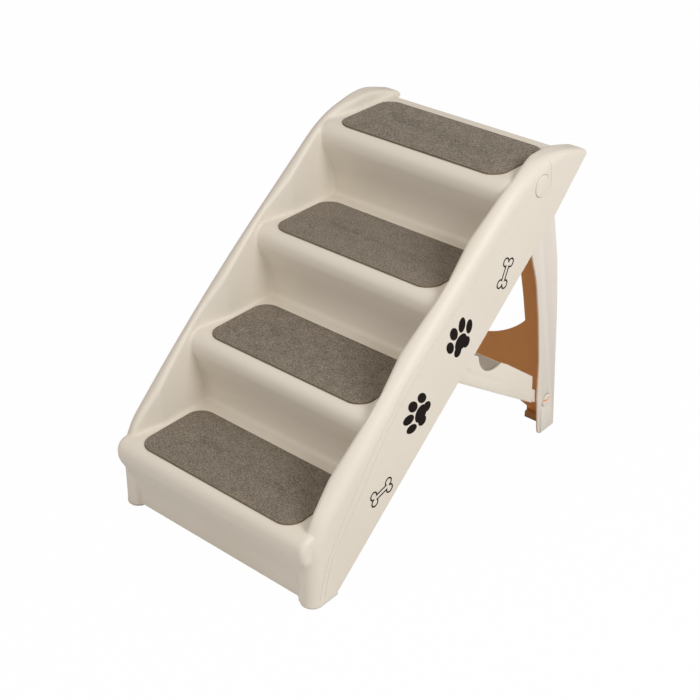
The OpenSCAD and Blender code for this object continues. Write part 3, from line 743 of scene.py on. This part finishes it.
# A turned piece: shank, broad head with a rounded rim and a low dome.
def makeCap(side, s):
    (py, pz), count = detailForm["pivot"], s["around"]
    r, soft = s["radius"], s["soft"]
    rimFrom = s["rim"] - soft * s["rimFall"]
    out = [(0, s["shankFrom"]), (s["shank"], s["shankFrom"]), (s["shank"], s["seat"]),
           (r, s["seat"]), (r, rimFrom)]
    out += [(r - soft * (1 - math.cos(a)), rimFrom + soft * s["rimRise"] * math.sin(a))
            for a in np.linspace(0, math.pi / 2, s["rimSteps"])[1:]]
    edge, base = out[-1]
    out += [(edge * c, base + (s["crown"] - base) * (1 - c * c)) for c in s["dome"]]
    p = np.array(out)
    t = np.linspace(0, 2 * np.pi, count, endpoint=False)
    grid = np.stack([np.repeat(p[:, 1:] * side, count, 1), py + p[:, :1] * np.cos(t),
                     pz + p[:, :1] * np.sin(t)], -1)
    i, j = np.meshgrid(np.arange(len(p) - 1), np.arange(count), indexing="ij")
    a, b = i * count + j, i * count + (j + 1) % count
    quads = np.stack([a, b, b + count, a + count], -1).reshape(-1, 4)
    cap = newMesh("pivot_cap_" + ("left" if side < 0 else "right"), grid.reshape(-1, 3), quads)
    cleanMesh(cap.data, s["merge"])
    cap.data.set_sharp_from_angle(angle=math.radians(s["sharp"]))
    cap.data.materials.append(creamPlastic)
    node = "leg_pivot_pin_" + ("left" if side < 0 else "right")
    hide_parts(node)
    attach(cap, "stairs")


makeCap(-1, capForm)
makeCap(1, capForm)

bodies = {n: b for b, names in frame["record"]["behaviour"]["bodies"].items() for n in names}
for name, (width, material) in edgeForm.items():
    softened(name, width, material, bodies[name], softForm)
for name, obj in nodes.items():
    if "prints" in name:
        obj.data.materials.clear()
        obj.data.materials.append(inkBlack)
print("leg, brace, pins and feet ready")

# Mats
matForm = {"width": 314, "depth": 135, "corner": 27, "top": 1.85, "edge": 1.1, "seat": 0.6,
           "underEdge": 0.6, "underRise": 0.4, "arcFrom": 0.35, "arcSteps": 4, "middle": 1.0,
           "pitch": 1.8, "pile": 0.3, "pileSink": 0.5, "pileFrom": 0.9, "wander": 0.03,
           "edgeShadeRing": 1.5, "backingFall": 0.6, "merge": 1e-5, "seed": 40}
clothForm = {"tuft": 460, "blotch": 60, "blotchShare": 0.10,
             "stops": [(0.355, (0.080, 0.064, 0.045, 1)), (0.645, (0.365, 0.312, 0.248, 1))],
             "middle": (0.5, (0.200, 0.167, 0.127, 1))}


# Short pile, darker between the tufts: tone = tuft noise + 0.1 * (blotch noise - 0.5).
def matCloth(name, s):
    mat, n, link, bsdf = newMaterial(name, {
        "Roughness": 0.95, "Specular IOR Level": 0.15, "Sheen Weight": 0.25,
        "Sheen Roughness": 0.5, "Sheen Tint": (0.8, 0.75, 0.68, 1)})
    place = addNode(n, "TexCoord")
    tuft = addNode(n, "TexNoise", {"Scale": s["tuft"], "Detail": 4, "Roughness": 0.8})
    blotch = addNode(n, "TexNoise", {"Scale": s["blotch"], "Detail": 3})
    tone = addNode(n, "ValToRGB")
    for element, (position, color) in zip(tone.color_ramp.elements, s["stops"]):
        element.position, element.color = position, color
    position, color = s["middle"]
    tone.color_ramp.elements.new(position).color = color
    blend = addNode(n, "Math", {1: s["blotchShare"]}, operation="MULTIPLY_ADD")
    centre = addNode(n, "Math", {1: 0.5}, operation="SUBTRACT")
    bump = addNode(n, "Bump", {"Strength": 0.7, "Distance": 0.0009})
    link(place.outputs["Object"], tuft.inputs["Vector"])
    link(place.outputs["Object"], blotch.inputs["Vector"])
    link(blotch.outputs[0], centre.inputs[0])
    link(centre.outputs[0], blend.inputs[0])
    link(tuft.outputs[0], blend.inputs[2])
    link(blend.outputs[0], tone.inputs[0])
    link(tone.outputs[0], bsdf.inputs["Base Color"])
    link(tuft.outputs[0], bump.inputs["Height"])
    link(bump.outputs[0], bsdf.inputs["Normal"])
    return mat


# Closed outline of a rounded rectangle, w by d, moved in by inset.
def roundedOutline(w, d, r, inset, count):
    r = max(r - inset, 0.5)
    hw, hd = w / 2 - inset, d / 2 - inset
    t = np.linspace(0, 2 * np.pi, count, endpoint=False)
    # even steps along the outline, straight sides included
    side = np.array([2 * (hd - r), 2 * (hw - r)] * 2)
    arc = np.pi / 2 * r
    total = side.sum() + 4 * arc
    s = t / (2 * np.pi) * total
    out, centre = np.zeros((count, 2)), [(1, 1), (-1, 1), (-1, -1), (1, -1)]
    startPoint = 0.0
    for q in range(4):
        cx, cy = centre[q][0] * (hw - r), centre[q][1] * (hd - r)
        on = (s >= startPoint) & (s < startPoint + arc)
        a = q * np.pi / 2 + (s - startPoint) / r
        out[on] = np.stack([cx + r * np.cos(a), cy + r * np.sin(a)], 1)[on]
        startPoint += arc
        on = (s >= startPoint) & (s < startPoint + side[(q + 1) % 4])
        a = (q + 1) * np.pi / 2
        base = np.array([cx + r * np.cos(a), cy + r * np.sin(a)])
        along = np.array([-np.sin(a), np.cos(a)])
        out[on] = (base + (s - startPoint)[:, None] * along)[on]
        startPoint += side[(q + 1) % 4]
    return out


# Rings from the underside over a rounded edge to the middle of the pile; the surface rises
# and falls with seeded noise.
def makeMat(index, s, cloth, backing):
    count = int(2 * (s["width"] + s["depth"]) / s["pitch"]) // 4 * 4
    rng = np.random.default_rng(s["seed"] + index)
    half, shoulder = s["depth"] / 2, s["top"] - s["edge"]
    profile = [(s["underEdge"], -s["seat"]), (0.0, -s["seat"] + s["underRise"]), (0.0, shoulder)]
    profile += [(s["edge"] * (1 - math.cos(a)), s["top"] - s["edge"] * (1 - math.sin(a)))
                for a in np.linspace(s["arcFrom"], math.pi / 2, s["arcSteps"])]
    inner = np.arange(s["edge"] + s["pitch"], half - s["middle"], s["pitch"])
    profile += [(float(v), s["top"]) for v in inner]
    rings = []
    for inset, height in profile:
        xy = roundedOutline(s["width"], s["depth"], s["corner"], inset, count)
        jitter = 0 if inset < s["edge"] * s["pileFrom"] else s["pile"]
        z = height + rng.normal(0, 1, count) * jitter - (jitter > 0) * s["pile"] * s["pileSink"]
        if 0 < inset or height < shoulder:
            xy = xy + rng.normal(0, s["wander"], (count, 2)) * (inset > 0)
        rings.append(np.column_stack([xy, z]))
    verts = np.concatenate(rings)
    a = np.arange(count)
    b = (a + 1) % count
    faces = [np.stack([a + k * count, b + k * count, b + (k + 1) * count, a + (k + 1) * count], 1)
             for k in range(len(rings) - 1)]
    quads = np.concatenate(faces)
    run, rise = stepForm["run"], stepForm["rise"]
    verts += np.array([0, half + run * index, rise * (index + 1)])
    top = (np.arange(count) + (len(rings) - 1) * count).tolist()
    mat = newMesh(f"mat_{index + 1}", verts, quads.tolist() + [list(range(count))[::-1], top])
    cleanMesh(mat.data, s["merge"])
    mat.data.materials.append(cloth)
    mat.data.materials.append(backing)
    zs = np.array([p.center.z for p in mat.data.polygons]) / mm - rise * (index + 1)
    xy = np.array([p.center.to_tuple()[:2] for p in mat.data.polygons]) / mm - shift[:2]
    q = np.abs(xy - [0, half + run * index]) - [s["width"] / 2 - s["corner"], half - s["corner"]]
    gap = s["corner"] - np.hypot(*np.maximum(q, 0).T) - np.minimum(q.max(1), 0)
    # The sides take the backing's own colour; the thin ring along the top edge of the pile takes it
    # as painted shade at the mat's edge.
    side = ((zs < s["top"] - s["edge"] * s["backingFall"]) | (gap < s["edgeShadeRing"])).astype(int)
    mat.data.polygons.foreach_set("material_index", side)
    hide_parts(f"tread_mat_{index + 1}")
    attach(mat, "stairs")


pileCloth = matCloth("mat_pile", clothForm)
# The backing's own colour on the mat sides, also used as painted edge shade on a thin ring of the
# pile's top.
matBackingAndEdgeShade = plastic("mat_backing_and_edge_shade", (0.13, 0.095, 0.055), (0.20, 0.145, 0.08), 1600, 0.8, 0.4)
for index in range(stepForm["count"]):
    makeMat(index, matForm, pileCloth, matBackingAndEdgeShade)
print("mats ready")
